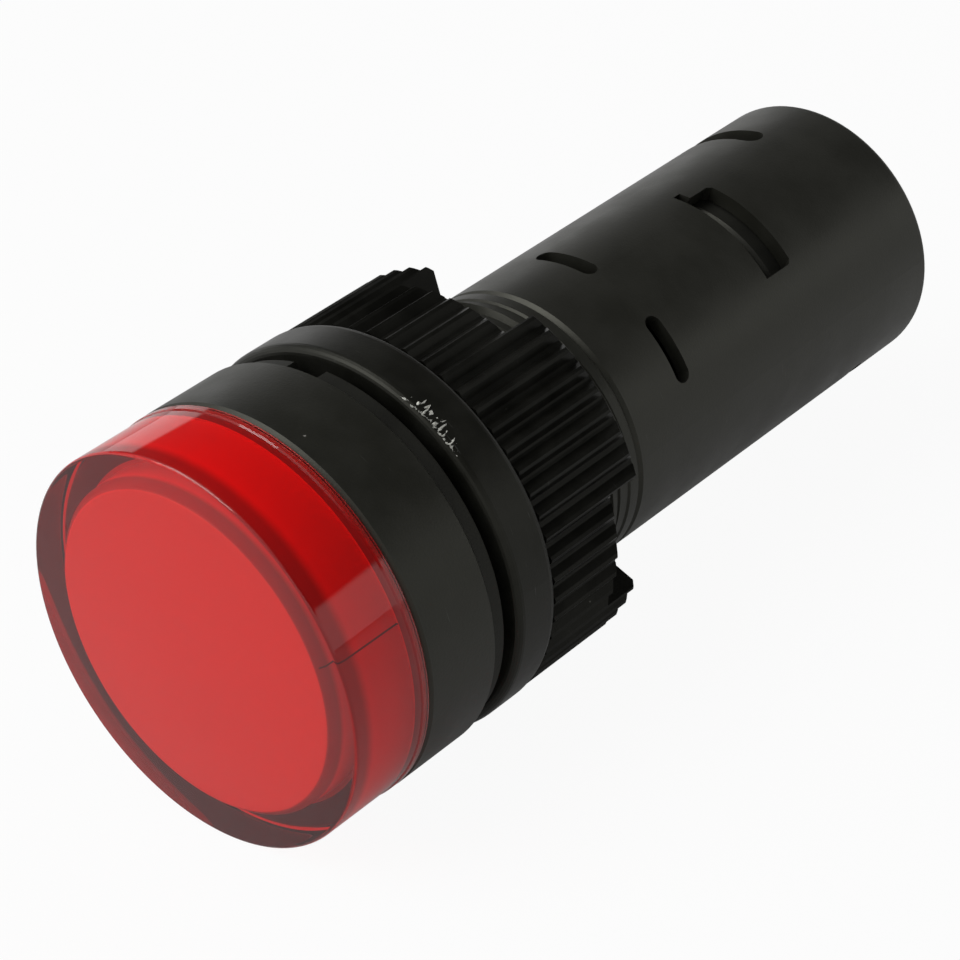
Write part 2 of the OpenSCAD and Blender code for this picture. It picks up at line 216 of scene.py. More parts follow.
class Effects:
    """Builds each shared node group once and places it in materials."""

    def __init__(self) -> None:
        """Builds the groups."""
        makers: dict[Effect, Callable[[], bpy.types.NodeTree]] = {
            Effect.MOULDED: self._moulded,
            Effect.DUST: self._dust,
            Effect.SCUFF: self._scuff,
        }
        self.groups = {effect: maker() for effect, maker in makers.items()}

    @staticmethod
    def _group(effect: Effect, inputs: dict[str, float], outputs: Sequence[str]) -> tuple[Sheet, bpy.types.Node,
                                                                                          bpy.types.Node]:
        """Starts a group with a vector and number inputs.

        Args:
            effect: The effect it stands for.
            inputs: Number inputs and their defaults.
            outputs: Number outputs.

        Returns:
            The sheet, the group's input node and its output node.
        """
        tree = bpy.data.node_groups.new(effect.value, "ShaderNodeTree")
        tree.interface.new_socket("Vector", in_out="INPUT", socket_type="NodeSocketVector")
        for name, default in inputs.items():
            tree.interface.new_socket(name, in_out="INPUT", socket_type="NodeSocketFloat").default_value = default
        for name in outputs:
            tree.interface.new_socket(name, in_out="OUTPUT", socket_type="NodeSocketFloat")
        sheet = Sheet(tree)
        return sheet, sheet.add("NodeGroupInput"), sheet.add("NodeGroupOutput")

    def _moulded(self) -> bpy.types.NodeTree:
        """Spark-eroded mould skin: a fine grain's height and slow shade changes.

        Returns:
            The group.
        """
        sheet, given, out = self._group(Effect.MOULDED, {"Scale": 9000.0, "Flow": 260.0}, ("Grain", "Shade"))
        fine = sheet.noise(given.outputs["Vector"], given.outputs["Scale"], 3.0, 0.65)
        coarse = sheet.noise(given.outputs["Vector"], sheet.math("MULTIPLY", given.outputs["Scale"], 0.27), 2.0)
        sheet.feed(out.inputs["Grain"], sheet.math("ADD", sheet.math("MULTIPLY", fine, 0.7),
                                                   sheet.math("MULTIPLY", coarse, 0.3)))
        flow = sheet.noise(given.outputs["Vector"], given.outputs["Flow"], 4.0, 0.55)
        sheet.feed(out.inputs["Shade"], sheet.ramp(flow, 0.3, 0.7))
        return sheet.tree

    def _dust(self) -> bpy.types.NodeTree:
        """Scattered specks, each smaller or larger than the next.

        Returns:
            The group.
        """
        sheet, given, out = self._group(Effect.DUST, {"Scale": 900.0, "Amount": 0.1}, ("Mask",))
        warp = sheet.add("TexNoise")
        sheet.feed(warp.inputs["Vector"], given.outputs["Vector"])
        sheet.feed(warp.inputs["Scale"], 2600.0)
        bent = sheet.add("VectorMath", operation="MULTIPLY_ADD")
        sheet.feed(bent.inputs[0], warp.outputs["Color"])
        sheet.feed(bent.inputs[1], (0.0004, 0.0004, 0.0004))
        sheet.feed(bent.inputs[2], given.outputs["Vector"])
        cells = sheet.add("TexVoronoi", feature="F1")
        sheet.feed(cells.inputs["Vector"], bent.outputs[0])
        sheet.feed(cells.inputs["Scale"], given.outputs["Scale"])
        chance = sheet.add("SeparateColor")
        sheet.feed(chance.inputs[0], cells.outputs["Color"])
        reach = sheet.math("MULTIPLY", sheet.math("SUBTRACT", given.outputs["Amount"], chance.outputs[0], clamp=True),
                           1.6)
        near = sheet.math("SUBTRACT", reach, cells.outputs["Distance"])
        sheet.feed(out.inputs["Mask"], sheet.ramp(near, -0.02, 0.06))
        return sheet.tree

    def _scuff(self) -> bpy.types.NodeTree:
        """Short hairline rubs that run across each other.

        Returns:
            The group.
        """
        sheet, given, out = self._group(Effect.SCUFF, {"Scale": 500.0, "Amount": 0.5}, ("Mask",))
        rubs = []
        for turn, stretch in ((0.5, 14.0), (-0.7, 18.0)):
            place = sheet.add("Mapping")
            sheet.feed(place.inputs["Vector"], given.outputs["Vector"])
            place.inputs["Rotation"].default_value = (0.3, turn, turn)
            place.inputs["Scale"].default_value = (1.0, stretch, 1.0)
            rubs.append(sheet.noise(place.outputs[0], given.outputs["Scale"], 1.0))
        peak = sheet.math("MAXIMUM", *rubs)
        start = sheet.math("SUBTRACT", 0.86, sheet.math("MULTIPLY", given.outputs["Amount"], 0.2))
        sheet.feed(out.inputs["Mask"], sheet.ramp(peak, start, sheet.math("ADD", start, 0.05)))
        return sheet.tree

    def place(self, sheet: Sheet, effect: Effect, vector: bpy.types.NodeSocket,
              **values: float) -> bpy.types.Node:
        """Puts a group into a material.

        Args:
            sheet: The material's sheet.
            effect: Which effect.
            vector: Coordinates in metres.
            **values: The group's number inputs.

        Returns:
            The group node.
        """
        node = sheet.add("Group", node_tree=self.groups[effect])
        sheet.feed(node.inputs["Vector"], vector)
        for name, value in values.items():
            node.inputs[name.capitalize()].default_value = value
        return node


# ---------------------------------------------------------------- finishes


@dataclass(frozen=True)
class Finish:
    """A finish with its shader's plain values."""

    name: str
    colour: Colour
    roughness: float

    def start(self) -> tuple[bpy.types.Material, Sheet, bpy.types.Node, bpy.types.NodeSocket]:
        """Starts the material.

        Returns:
            The material, its sheet, its Principled shader and the coordinates in metres.
        """
        material = bpy.data.materials.new(self.name)
        material.use_nodes = True
        sheet = Sheet(material.node_tree)
        shader = material.node_tree.nodes["Principled BSDF"]
        shader.inputs["Base Color"].default_value = (*self.colour, 1.0)
        shader.inputs["Roughness"].default_value = self.roughness
        place = sheet.add("TexCoord").outputs["Object"]
        return material, sheet, shader, place

    @staticmethod
    def relief(sheet: Sheet, shader: bpy.types.Node, height: bpy.types.NodeSocket, depth: float,
               strength: float = 1.0) -> None:
        """Feeds a height into the shader's normal.

        Args:
            sheet: The material's sheet.
            shader: The Principled shader.
            height: Height between 0 and 1.
            depth: Real depth of that height in metres.
            strength: Strength of the bump.
        """
        bump = sheet.add("Bump")
        bump.inputs["Strength"].default_value = strength
        bump.inputs["Distance"].default_value = depth
        sheet.feed(bump.inputs["Height"], height)
        sheet.feed(shader.inputs["Normal"], bump.outputs[0])


@dataclass(frozen=True)
class MouldedPlastic(Finish):
    """Dark moulded plastic: grained, faintly uneven, with dust and rubs."""

    grain: float = 9000.0
    depth: float = 0.012 * MM
    spread: float = 0.08
    pale: Colour = (0.02, 0.02, 0.017)
    dust: float = 0.05
    scuff: float = 0.3
    specular: float = 0.5

    def make(self, effects: Effects) -> bpy.types.Material:
        """Builds the material.

        Args:
            effects: The shared groups.

        Returns:
            The material.
        """
        material, sheet, shader, place = self.start()
        skin = effects.place(sheet, Effect.MOULDED, place, scale=self.grain)
        dust = effects.place(sheet, Effect.DUST, place, amount=self.dust)
        scuff = effects.place(sheet, Effect.SCUFF, place, amount=self.scuff)
        shade = sheet.math("MULTIPLY", skin.outputs["Shade"], 0.35)
        tone = sheet.blend(shade, self.colour, self.pale)
        rubbed = sheet.blend(sheet.math("MULTIPLY", scuff.outputs["Mask"], 0.35), tone, (0.09, 0.09, 0.085))
        sheet.feed(shader.inputs["Base Color"],
                   sheet.blend(sheet.math("MULTIPLY", dust.outputs["Mask"], 0.7), rubbed, (0.35, 0.34, 0.31)))
        rough = sheet.math("ADD", self.roughness - self.spread / 2,
                           sheet.math("MULTIPLY", skin.outputs["Shade"], self.spread))
        sheet.feed(shader.inputs["Roughness"], sheet.math("MAXIMUM", rough, dust.outputs["Mask"]))
        shader.inputs["Specular IOR Level"].default_value = self.specular
        shader.inputs["Specular Tint"].default_value = (1.0, 1.0, 0.86, 1.0)
        self.relief(sheet, shader, skin.outputs["Grain"], self.depth)
        return material


@dataclass(frozen=True)
class ClearPlastic(Finish):
    """Polished clear plastic, dyed through, so that a longer way through it looks deeper."""

    ior: float = 1.49
    dye: Colour = (0.945, 0.16, 0.06)
    density: float = 1650.0

    def make(self, effects: Effects) -> bpy.types.Material:
        """Builds the material.

        Args:
            effects: The shared groups.

        Returns:
            The material.
        """
        material, sheet, shader, place = self.start()
        shader.inputs["Transmission Weight"].default_value = 1.0
        shader.inputs["Metallic"].default_value = 0.0
        shader.inputs["IOR"].default_value = self.ior
        self.relief(sheet, shader, sheet.noise(place, 160.0, 1.0), 0.002 * MM)
        mix = sheet.add("MixShader")
        sheet.feed(mix.inputs[0], sheet.add("LightPath").outputs["Is Shadow Ray"])
        sheet.feed(mix.inputs[1], shader.outputs[0])
        sheet.feed(mix.inputs[2], sheet.add("BsdfTransparent").outputs[0])
        sheet.feed(material.node_tree.nodes["Material Output"].inputs["Surface"], mix.outputs[0])
        depth = sheet.add("VolumeAbsorption")
        depth.inputs["Color"].default_value = (*self.dye, 1.0)
        depth.inputs["Density"].default_value = self.density
        sheet.feed(material.node_tree.nodes["Material Output"].inputs["Volume"], depth.outputs[0])
        return material


@dataclass(frozen=True)
class MilkyPlastic(Finish):
    """Even, light-scattering plastic, with the dark line where its wall was joined, if it has one."""

    scatter: float = 0.4
    wall: Colour | None = None
    seam_at: float | None = None
    seam_width: float = 0.11 * MM
    seam_from: float = 11.9 * MM
    seam_to: float = 12.4 * MM
    # these two set the painted shade on the wall towards its front rim
    rim_from: float = 11.7 * MM
    rim_shade_depth: float = 0.0
    rim_shade_share: float = 0.62
    # these two set the painted shade on the wall's foot
    shaded_foot_from: float = 12.5 * MM
    foot_shade_share: float = 0.25

    def cup(self, sheet: Sheet, place: bpy.types.NodeSocket) -> bpy.types.NodeSocket:
        """Gives a cup its colours: the face, the wall, and painted shade on the wall towards its front rim and on its
        foot.

        Args:
            sheet: The material's sheet.
            place: Place in the frame.

        Returns:
            The colour.
        """
        parts = sheet.add("SeparateXYZ")
        sheet.feed(parts.inputs[0], place)
        flat = sheet.math("ADD", sheet.math("MULTIPLY", parts.outputs[0], parts.outputs[0]),
                          sheet.math("MULTIPLY", parts.outputs[2], parts.outputs[2]))
        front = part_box("diffuser")[0].y
        # painted shade: the wall darkens towards its front rim, where little light comes out
        rim_shade = sheet.ramp(parts.outputs[1], front + self.rim_shade_depth / 2, front + self.rim_shade_depth, self.rim_shade_share, 0.0)
        wall = sheet.blend(rim_shade, self.wall, tuple(part * 0.1 for part in self.wall))
        # painted shade: beyond this radius the wall's foot is darkened
        wall = sheet.blend(sheet.math("GREATER_THAN", flat, self.shaded_foot_from ** 2), wall,
                           tuple(part * self.foot_shade_share for part in self.wall))
        return sheet.blend(sheet.math("GREATER_THAN", flat, self.rim_from ** 2), self.colour, wall)

    def seam(self, sheet: Sheet, place: bpy.types.NodeSocket) -> bpy.types.NodeSocket:
        """Makes the mask of the line along the wall.

        Args:
            sheet: The material's sheet.
            place: Place in the frame.

        Returns:
            1 on the line, else 0.
        """
        turn = math.radians(self.seam_at)
        spans = []
        for way in ((math.cos(turn), 0.0, -math.sin(turn)), (math.sin(turn), 0.0, math.cos(turn))):
            span = sheet.add("VectorMath", operation="DOT_PRODUCT")
            sheet.feed(span.inputs[0], place)
            span.inputs[1].default_value = way
            spans.append(span.outputs["Value"])
        thin = sheet.math("LESS_THAN", sheet.math("ABSOLUTE", spans[0]), self.seam_width / 2)
        near = sheet.math("MULTIPLY", sheet.math("GREATER_THAN", spans[1], self.seam_from),
                          sheet.math("LESS_THAN", spans[1], self.seam_to))
        return sheet.math("MULTIPLY", thin, near)

    def make(self, effects: Effects) -> bpy.types.Material:
        """Builds the material.

        Args:
            effects: The shared groups.

        Returns:
            The material.
        """
        material, sheet, shader, place = self.start()
        skin = effects.place(sheet, Effect.MOULDED, place, scale=7000.0, flow=120.0)
        deeper = tuple(part * 0.9 for part in self.colour)
        colour = sheet.blend(skin.outputs["Shade"], self.colour, deeper)
        if self.wall is not None:
            colour = self.cup(sheet, place)
        if self.seam_at is not None:
            colour = sheet.blend(self.seam(sheet, place), colour, tuple(part * 0.12 for part in self.colour))
        sheet.feed(shader.inputs["Base Color"], colour)
        shader.inputs["Subsurface Weight"].default_value = self.scatter
        shader.inputs["Subsurface Radius"].default_value = (1.0, 0.2, 0.1)
        shader.inputs["Subsurface Scale"].default_value = 1.2 * MM
        self.relief(sheet, shader, skin.outputs["Grain"], 0.006 * MM)
        return material


@dataclass(frozen=True)
class Metal(Finish):
    """Stamped or turned metal with fine lines and a dull film."""

    film: Colour = (0.3, 0.28, 0.24)
    lines: float = 4000.0

    def make(self, effects: Effects) -> bpy.types.Material:
        """Builds the material.

        Args:
            effects: The shared groups.

        Returns:
            The material.
        """
        material, sheet, shader, place = self.start()
        shader.inputs["Metallic"].default_value = 1.0
        skin = effects.place(sheet, Effect.MOULDED, place, scale=self.lines, flow=500.0)
        scuff = effects.place(sheet, Effect.SCUFF, place, scale=900.0, amount=0.8)
        dull = sheet.math("MULTIPLY", skin.outputs["Shade"], 0.5)
        sheet.feed(shader.inputs["Base Color"], sheet.blend(dull, self.colour, self.film))
        rough = sheet.math("ADD", self.roughness, sheet.math("MULTIPLY", skin.outputs["Shade"], 0.15))
        sheet.feed(shader.inputs["Roughness"],
                   sheet.math("ADD", rough, sheet.math("MULTIPLY", scuff.outputs["Mask"], 0.1)))
        self.relief(sheet, shader, skin.outputs["Grain"], 0.006 * MM)
        return material


@dataclass(frozen=True)
class Enamel(Finish):
    """Glossy or satin coated part, such as a sleeve, a box or a board's mask."""

    patch: Colour = (0.1, 0.1, 0.1)
    share: float = 0.2
    coat: float = 0.3

    def make(self, effects: Effects) -> bpy.types.Material:
        """Builds the material.

        Args:
            effects: The shared groups.

        Returns:
            The material.
        """
        material, sheet, shader, place = self.start()
        skin = effects.place(sheet, Effect.MOULDED, place, scale=5000.0, flow=700.0)
        sheet.feed(shader.inputs["Base Color"],
                   sheet.blend(sheet.math("MULTIPLY", skin.outputs["Shade"], self.share), self.colour, self.patch))
        shader.inputs["Coat Weight"].default_value = self.coat
        shader.inputs["Coat Roughness"].default_value = 0.12
        self.relief(sheet, shader, skin.outputs["Grain"], 0.008 * MM)
        return material


HEAD_BLACK = MouldedPlastic("head_black", (0.0075, 0.0075, 0.0056), 0.42, specular=0.34, grain=5200.0, depth=0.02 * MM, dust=0.07)
STEM_BLACK = MouldedPlastic("stem_black", (0.0085, 0.0085, 0.0068), 0.4, specular=0.5, dust=0.06)
RING_BLACK = MouldedPlastic("ring_black", (0.004, 0.004, 0.003), 0.36, specular=0.2, grain=7000.0, dust=0.05, scuff=0.5)
NUT_BLACK = MouldedPlastic("nut_black", (0.003, 0.003, 0.0024), 0.32, specular=0.1, grain=8000.0, dust=0.06)
COVER_BLACK = MouldedPlastic("cover_black", (0.0095, 0.0095, 0.0074), 0.4, specular=0.38, grain=6500.0, dust=0.035)
BLOCK_BLACK = MouldedPlastic("block_black", (0.009, 0.009, 0.008), 0.42, specular=0.3, dust=0.05)
GASKET = MouldedPlastic("gasket_rubber", (0.008, 0.008, 0.007), 0.6, specular=0.2, grain=4200.0, depth=0.03 * MM, dust=0.1)
SEAL = MouldedPlastic("seal_rubber", (0.01, 0.01, 0.01), 0.55, grain=4200.0, dust=0.02)
LENS_RED = ClearPlastic("lens_red", (1.0, 0.97, 0.96), 0.015)
# the diffuser's wall carries painted shade towards its front rim and on its foot
DIFFUSER_RED = MilkyPlastic("diffuser_red", (0.68, 0.027, 0.014), 0.35, wall=(1.0, 0.035, 0.02), seam_at=77.5,
                            rim_shade_depth=1.9 * MM)
# pale grey: partly the torn plastic's own colour, partly a painted highlight on its crumpled edge
FLASH_GREY_AND_SHEEN = MouldedPlastic("flash_grey_and_sheen", (0.5, 0.5, 0.46), 0.25, specular=0.6, dust=0.02)
LAMP_RESIN = MilkyPlastic("lamp_resin", (0.8, 0.3, 0.25), 0.15, scatter=0.6)
BRASS = Metal("brass", (0.78, 0.56, 0.26), 0.25, film=(0.45, 0.3, 0.13))
STEEL = Metal("zinc_steel", (0.66, 0.66, 0.64), 0.28, film=(0.42, 0.42, 0.4))
GOLD = Metal("gold_plate", (0.9, 0.66, 0.28), 0.2, film=(0.6, 0.42, 0.16))
WHITE_BOARD = Enamel("white_board", (0.72, 0.73, 0.69), 0.4, patch=(0.6, 0.6, 0.55))
GREEN_BOARD = Enamel("green_board", (0.02, 0.12, 0.045), 0.35, patch=(0.05, 0.2, 0.08), share=0.5)
FILM_BOX = Enamel("film_box", (0.6, 0.33, 0.03), 0.35, patch=(0.5, 0.25, 0.02))
CAN_SLEEVE = Enamel("can_sleeve", (0.015, 0.02, 0.05), 0.3, patch=(0.03, 0.035, 0.08))
EPOXY = Enamel("black_epoxy", (0.015, 0.015, 0.015), 0.5, patch=(0.03, 0.03, 0.03), coat=0.0)
RESISTOR = Enamel("resistor_paint", (0.2, 0.38, 0.5), 0.4, patch=(0.12, 0.25, 0.35))
WIRE = Enamel("wire_sheath", (0.35, 0.02, 0.015), 0.35, patch=(0.25, 0.015, 0.01))

NODE_FINISHES = {
    "lens": LENS_RED, "lens_seal": SEAL, "diffuser": DIFFUSER_RED, "housing": HEAD_BLACK,
    "panel_gasket": GASKET, "clamp_ring": RING_BLACK, "mounting_nut": NUT_BLACK,
    "rear_cover": COVER_BLACK, "led_board": WHITE_BOARD, "leds": LAMP_RESIN, "header_pins": GOLD,
    "driver_board": GREEN_BOARD, "dropper_capacitor": FILM_BOX, "smoothing_capacitor": CAN_SLEEVE,
    "bridge_rectifier": EPOXY, "resistors": RESISTOR, "lead_wires": WIRE, "terminal_block": BLOCK_BLACK,
    "terminal_plate_left": BRASS, "terminal_plate_right": BRASS,
    "clamp_washer_left": STEEL, "clamp_washer_right": STEEL,
    "terminal_screw_left": STEEL, "terminal_screw_right": STEEL,
}


class Paintbox:
    """Makes each finish's material once."""

    def __init__(self) -> None:
        """Builds the shared effects."""
        self.effects = Effects()
        self.made: dict[str, bpy.types.Material] = {}

    def material(self, finish: Finish) -> bpy.types.Material:
        """Gives a finish's material.

        Args:
            finish: The finish.

        Returns:
            Its material, made on first use.
        """
        if finish.name not in self.made:
            self.made[finish.name] = finish.make(self.effects)
        return self.made[finish.name]

    def coat(self, piece: bpy.types.Object, finish: Finish) -> None:
        """Gives a piece one finish all over.

        Args:
            piece: A mesh object.
            finish: Its finish.
        """
        piece.data.materials.clear()
        piece.data.materials.append(self.material(finish))


# ---------------------------------------------------------------- pieces

Profile = list[tuple[float, float]]


def bend(centre: tuple[float, float], radius: float, start: float, end: float, steps: int = 8) -> Profile:
    """Gives the points of an arc in a profile.

    Args:
        centre: Its centre, as radius from the axis and place along it.
        radius: Its radius.
        start: First angle in degrees, 0 pointing away from the axis and 90 along it.
        end: Last angle in degrees.
        steps: Number of segments.

    Returns:
        The points, in the profile's own units.
    """
    angles = [math.radians(start + (end - start) * step / steps) for step in range(steps + 1)]
    return [(centre[0] + radius * math.cos(angle), centre[1] + radius * math.sin(angle)) for angle in angles]


def shade(mesh: bmesh.types.BMesh, crease: float = 28.0) -> None:
    """Shades faces smooth and keeps the edges that turn more than the crease sharp.

    Args:
        mesh: The mesh.
        crease: Angle in degrees.
    """
    for face in mesh.faces:
        face.smooth = True
    for edge in mesh.edges:
        edge.smooth = edge.is_manifold and edge.calc_face_angle(0.0) < math.radians(crease)


def place_mesh(name: str, mesh: bmesh.types.BMesh) -> bpy.types.Object:
    """Puts a finished mesh into the scene.

    Args:
        name: The piece's name.
        mesh: Its mesh, in metres, which is freed.

    Returns:
        The piece.
    """
    bmesh.ops.recalc_face_normals(mesh, faces=mesh.faces)
    shade(mesh)
    data = bpy.data.meshes.new(name)
    mesh.to_mesh(data)
    mesh.free()
    piece = bpy.data.objects.new(name, data)
    bpy.context.scene.collection.objects.link(piece)
    return piece


def turn_profile(name: str, profile: Profile, segments: int = 256) -> bpy.types.Object:
    """Turns a closed profile round the light's axis.

    Args:
        name: The piece's name.
        profile: Points as radius and place along the axis, in millimetres. A point on the axis has radius 0.
        segments: Number of segments round the axis.

    Returns:
        The piece.
    """
    mesh = bmesh.new()
    rings = []
    for radius, along in profile:
        if radius == 0:
            rings.append([mesh.verts.new((0, along * MM, 0))])
            continue
        angles = [TURN * step / segments for step in range(segments)]
        rings.append([mesh.verts.new((radius * MM * math.sin(angle), along * MM, radius * MM * math.cos(angle)))
                      for angle in angles])
    for first, second in zip(rings, rings[1:] + rings[:1]):
        if len(first) == 1 and len(second) == 1:
            continue
        for step in range(segments):
            after = (step + 1) % segments
            corners = [first[step % len(first)], first[after % len(first)],
                       second[after % len(second)], second[step % len(second)]]
            mesh.faces.new(list(dict.fromkeys(corners)))
    return place_mesh(name, mesh)


@dataclass
class LensAssembly:
    """The clear red cup and the milky cup behind it, with the thick plate of the cup's face."""

    paint: Paintbox
    edge: float = 0.25
    plate: float = 0.5
    bore: float = 12.15
    brow: float = 11.8
    brow_len: float = 1.2
    grip: float = 0.02
    cup_wall: float = 0.9
    foot: float = 14.15
    foot_len: float = 0.3
    skirt: float = 13.3
    bead: float = 0.08
    bead_len: float = 0.5
    shoulder: float = 0.1

    def build(self) -> None:
        """Makes both cups in the place of their nodes."""
        low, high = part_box("lens")
        front, back = low.y / MM, high.y / MM
        side = high.x / MM - self.bead
        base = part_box("housing")[0].y / MM - self.shoulder
        inner = front + self.plate
        profile = [(0.0, front)]
        profile += bend((side - self.edge, front + self.edge), self.edge, -90, 0)
        profile += [(side, base - self.bead_len - 0.15), (side + self.bead, base - self.bead_len)]
        profile += [(side + self.bead, base), (self.skirt, base), (self.skirt, back - 0.4)]
        profile += [(self.skirt - 0.4, back), (self.bore, back)]
        profile += self.cavity(inner)[::-1]
        lens = turn_profile("lens_cup", profile)
        self.paint.coat(lens, LENS_RED)
        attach(lens, Body.LAMP.value)
        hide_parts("lens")
        self.milky_cup(inner, base)

    def cavity(self, front: float, grown: float = 0.0) -> Profile:
        """Gives the shape in which the milky cup sits, from the axis to the side.

        Args:
            front: Place of its face along the axis, in millimetres.
            grown: How much larger it is made on every side.

        Returns:
            The open profile.
        """
        brow, face = self.brow + grown, front - grown
        return [(0.0, face), *bend((brow - self.edge, face + self.edge), self.edge, -90, -20),
                (self.bore + grown, face + self.brow_len)]

    def milky_cup(self, front: float, base: float) -> None:
        """Makes the milky cup, which presses a little into the clear one, so that no air lies between them.

        Args:
            front: Place of its face along the axis, in millimetres.
            base: Place of the end of the clear cup's wall.
        """
        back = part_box("diffuser")[1].y / MM
        inner = self.bore - self.cup_wall
        profile = self.cavity(front, self.grip)
        side, foot = self.bore + self.grip, base - self.foot_len
        profile += [(side, foot), (self.foot, foot), (self.foot, base - 0.05), (side, base - 0.05)]
        profile += [(side, back), (inner, back), (inner, front + self.cup_wall + 1.0),
                    (0.0, front + self.cup_wall)]
        cup = turn_profile("diffuser_cup", profile)
        self.paint.coat(cup, DIFFUSER_RED)
        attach(cup, Body.LAMP.value)
        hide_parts("diffuser")


@dataclass
class ThreadedStem:
    """The head and stem in one piece, with the thread cut into the stem."""

    paint: Paintbox
    housing: bpy.types.Object
    pitch: float = 1.5
    first: float = 0.5
    last: float = 17.4
    top: float = 11.0
    top_half: float = 0.67
    root: float = 10.35
    root_half: float = 0.18
    steps: int = 72

    def cutter(self) -> bpy.types.Object:
        """Makes the winding bar that cuts the groove.

        Returns:
            The bar.
        """
        mesh = bmesh.new()
        section = [(self.top, -self.top_half), (self.top, self.top_half),
                   (self.root, self.root_half), (self.root, -self.root_half)]
        rings = []
        for step in range(int((self.last - self.first) / self.pitch * self.steps) + 1):
            angle = TURN * step / self.steps
            along = self.first + self.pitch * step / self.steps
            rings.append([mesh.verts.new((radius * MM * math.sin(angle), (along + side) * MM,
                                          radius * MM * math.cos(angle))) for radius, side in section])
        for first, second in zip(rings, rings[1:]):
            for corner in range(4):
                after = (corner + 1) % 4
                mesh.faces.new((first[corner], first[after], second[after], second[corner]))
        mesh.faces.new(rings[0])
        mesh.faces.new(rings[-1])
        return place_mesh("thread_cutter", mesh)

    def build(self) -> None:
        """Cuts the groove into a copy of the node and puts the copy in its place."""
        cutter = self.cutter()
        blank = bpy.data.objects.new("thread_blank", self.housing.data.copy())
        bpy.context.scene.collection.objects.link(blank)
        blank.matrix_world = self.housing.matrix_world
        cut = blank.modifiers.new("cut", "BOOLEAN")
        cut.operation, cut.solver, cut.object = "DIFFERENCE", "EXACT", cutter
        graph = bpy.context.evaluated_depsgraph_get()
        mesh = bmesh.new()
        mesh.from_mesh(blank.evaluated_get(graph).to_mesh())
        mesh.transform(blank.matrix_world)
        piece = place_mesh("threaded_housing", mesh)
        for spent in (blank, cutter):
            bpy.data.objects.remove(spent)
        self.paint.coat(piece, HEAD_BLACK)
        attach(piece, Body.LAMP.value)
        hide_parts("housing")


@dataclass
class Flash:
    """The torn skin of plastic left on the front edge of the clamp ring."""

    paint: Paintbox
    first: float = 27.0
    last: float = 49.0
    steps: int = 90
    rows: int = 4
    reach: float = 1.2

    def build(self) -> None:
        """Makes the crumpled strip."""
        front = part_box("clamp_ring")[0].y / MM
        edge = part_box("clamp_ring")[1].z / MM
        mesh = bmesh.new()
        rings = []
        for step in range(self.steps + 1):
            share = step / self.steps
            angle = math.radians(self.first + (self.last - self.first) * share)
            swell = math.sin(math.pi * share) ** 0.5
            ring = []
            for row in range(self.rows):
                jolt = noise.noise_vector(Vector((share * 26.0, row * 1.7, 3.1)))
                radius = edge - 0.12 + swell * 0.4 * abs(jolt.x)
                along = front + 0.25 + swell * (self.reach * row / (self.rows - 1) * (0.5 + abs(jolt.y)) + 0.3 * jolt.z)
                ring.append(mesh.verts.new((radius * MM * math.sin(angle), along * MM, radius * MM * math.cos(angle))))
            rings.append(ring)
        for first, second in zip(rings, rings[1:]):
            for row in range(self.rows - 1):
                mesh.faces.new((first[row], first[row + 1], second[row + 1], second[row]))
        piece = place_mesh("ring_flash", mesh)
        # its pale colour is partly a painted highlight
        self.paint.coat(piece, FLASH_GREY_AND_SHEEN)
        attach(piece, Body.RING.value)


# ---------------------------------------------------------------- studio


